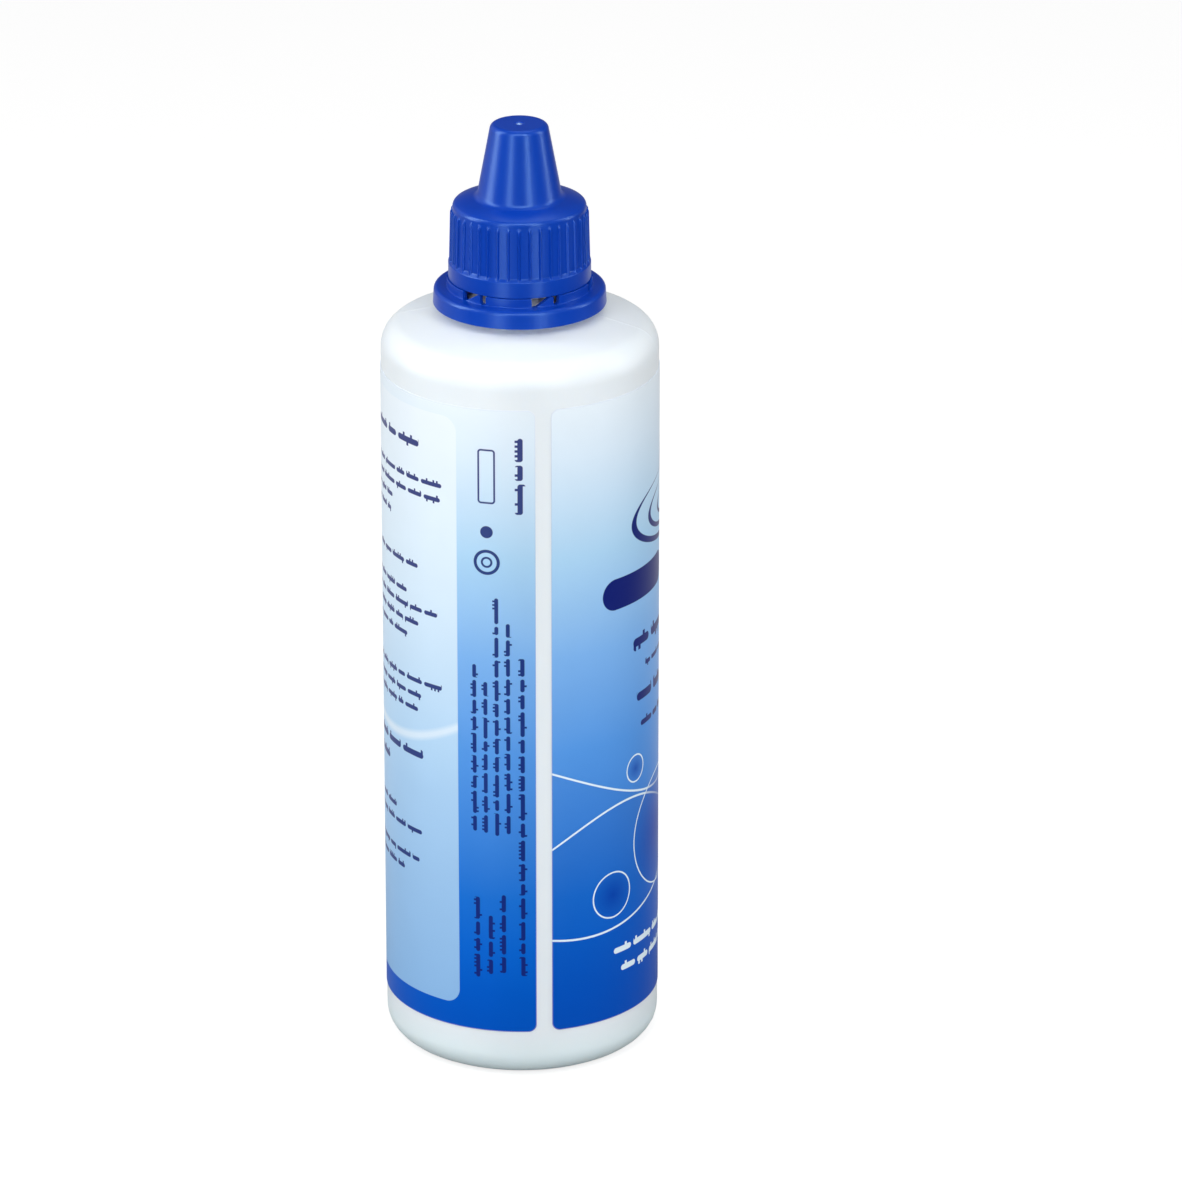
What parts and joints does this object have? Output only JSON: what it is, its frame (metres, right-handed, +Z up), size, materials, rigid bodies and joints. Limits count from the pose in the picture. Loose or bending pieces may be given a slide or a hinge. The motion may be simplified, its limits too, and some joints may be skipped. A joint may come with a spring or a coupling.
{
  "type": "contact lens solution bottle",
  "caption": "Round plastic squeeze bottle with a drop nozzle in its neck, a ribbed screw cap with a tall spire, a break-away tamper ring and wrap-round labels.",
  "frame": {"origin": "centre of the bottle's base, on the surface that it stands on", "axes": "+Z up along the bottle's axis; the front label's middle faces -Y, the rear label's middle faces +Y, and the bare strips between them face +X and -X"},
  "size_m": [0.0522, 0.0522, 0.1826],
  "materials": {
    "bottle_plastic": "satin white blow-moulded polyethylene",
    "nozzle_plastic": "natural soft polyethylene",
    "cap_plastic": "satin royal blue moulded polypropylene",
    "front_label_film": "printed film, pale to deep blue",
    "rear_label_film": "printed film, pale to deep blue with a lighter panel"
  },
  "bodies": {
    "root": {"bottle": "bottle_plastic", "nozzle_insert": "nozzle_plastic", "front_label": "front_label_film", "rear_label": "rear_label_film"},
    "ring": {"tamper_ring": "cap_plastic"},
    "cap": {"screw_cap": "cap_plastic"}
  },
  "joints": [
    {"name": "cap_turn", "type": "hinge", "parent": "root", "child": "ring", "pos_m": [0, 0, 0.1535], "axis": [0, 0, 1], "range_deg": [0, 630]},
    {"name": "cap_lift", "type": "slide", "parent": "ring", "child": "cap", "axis": [0, 0, 1], "range_m": [0, 0.0053]}
  ],
  "couplings": [
    {"joint": "cap_lift", "follows": "cap_turn", "m_per_rad": 0.00047746}
  ]
}
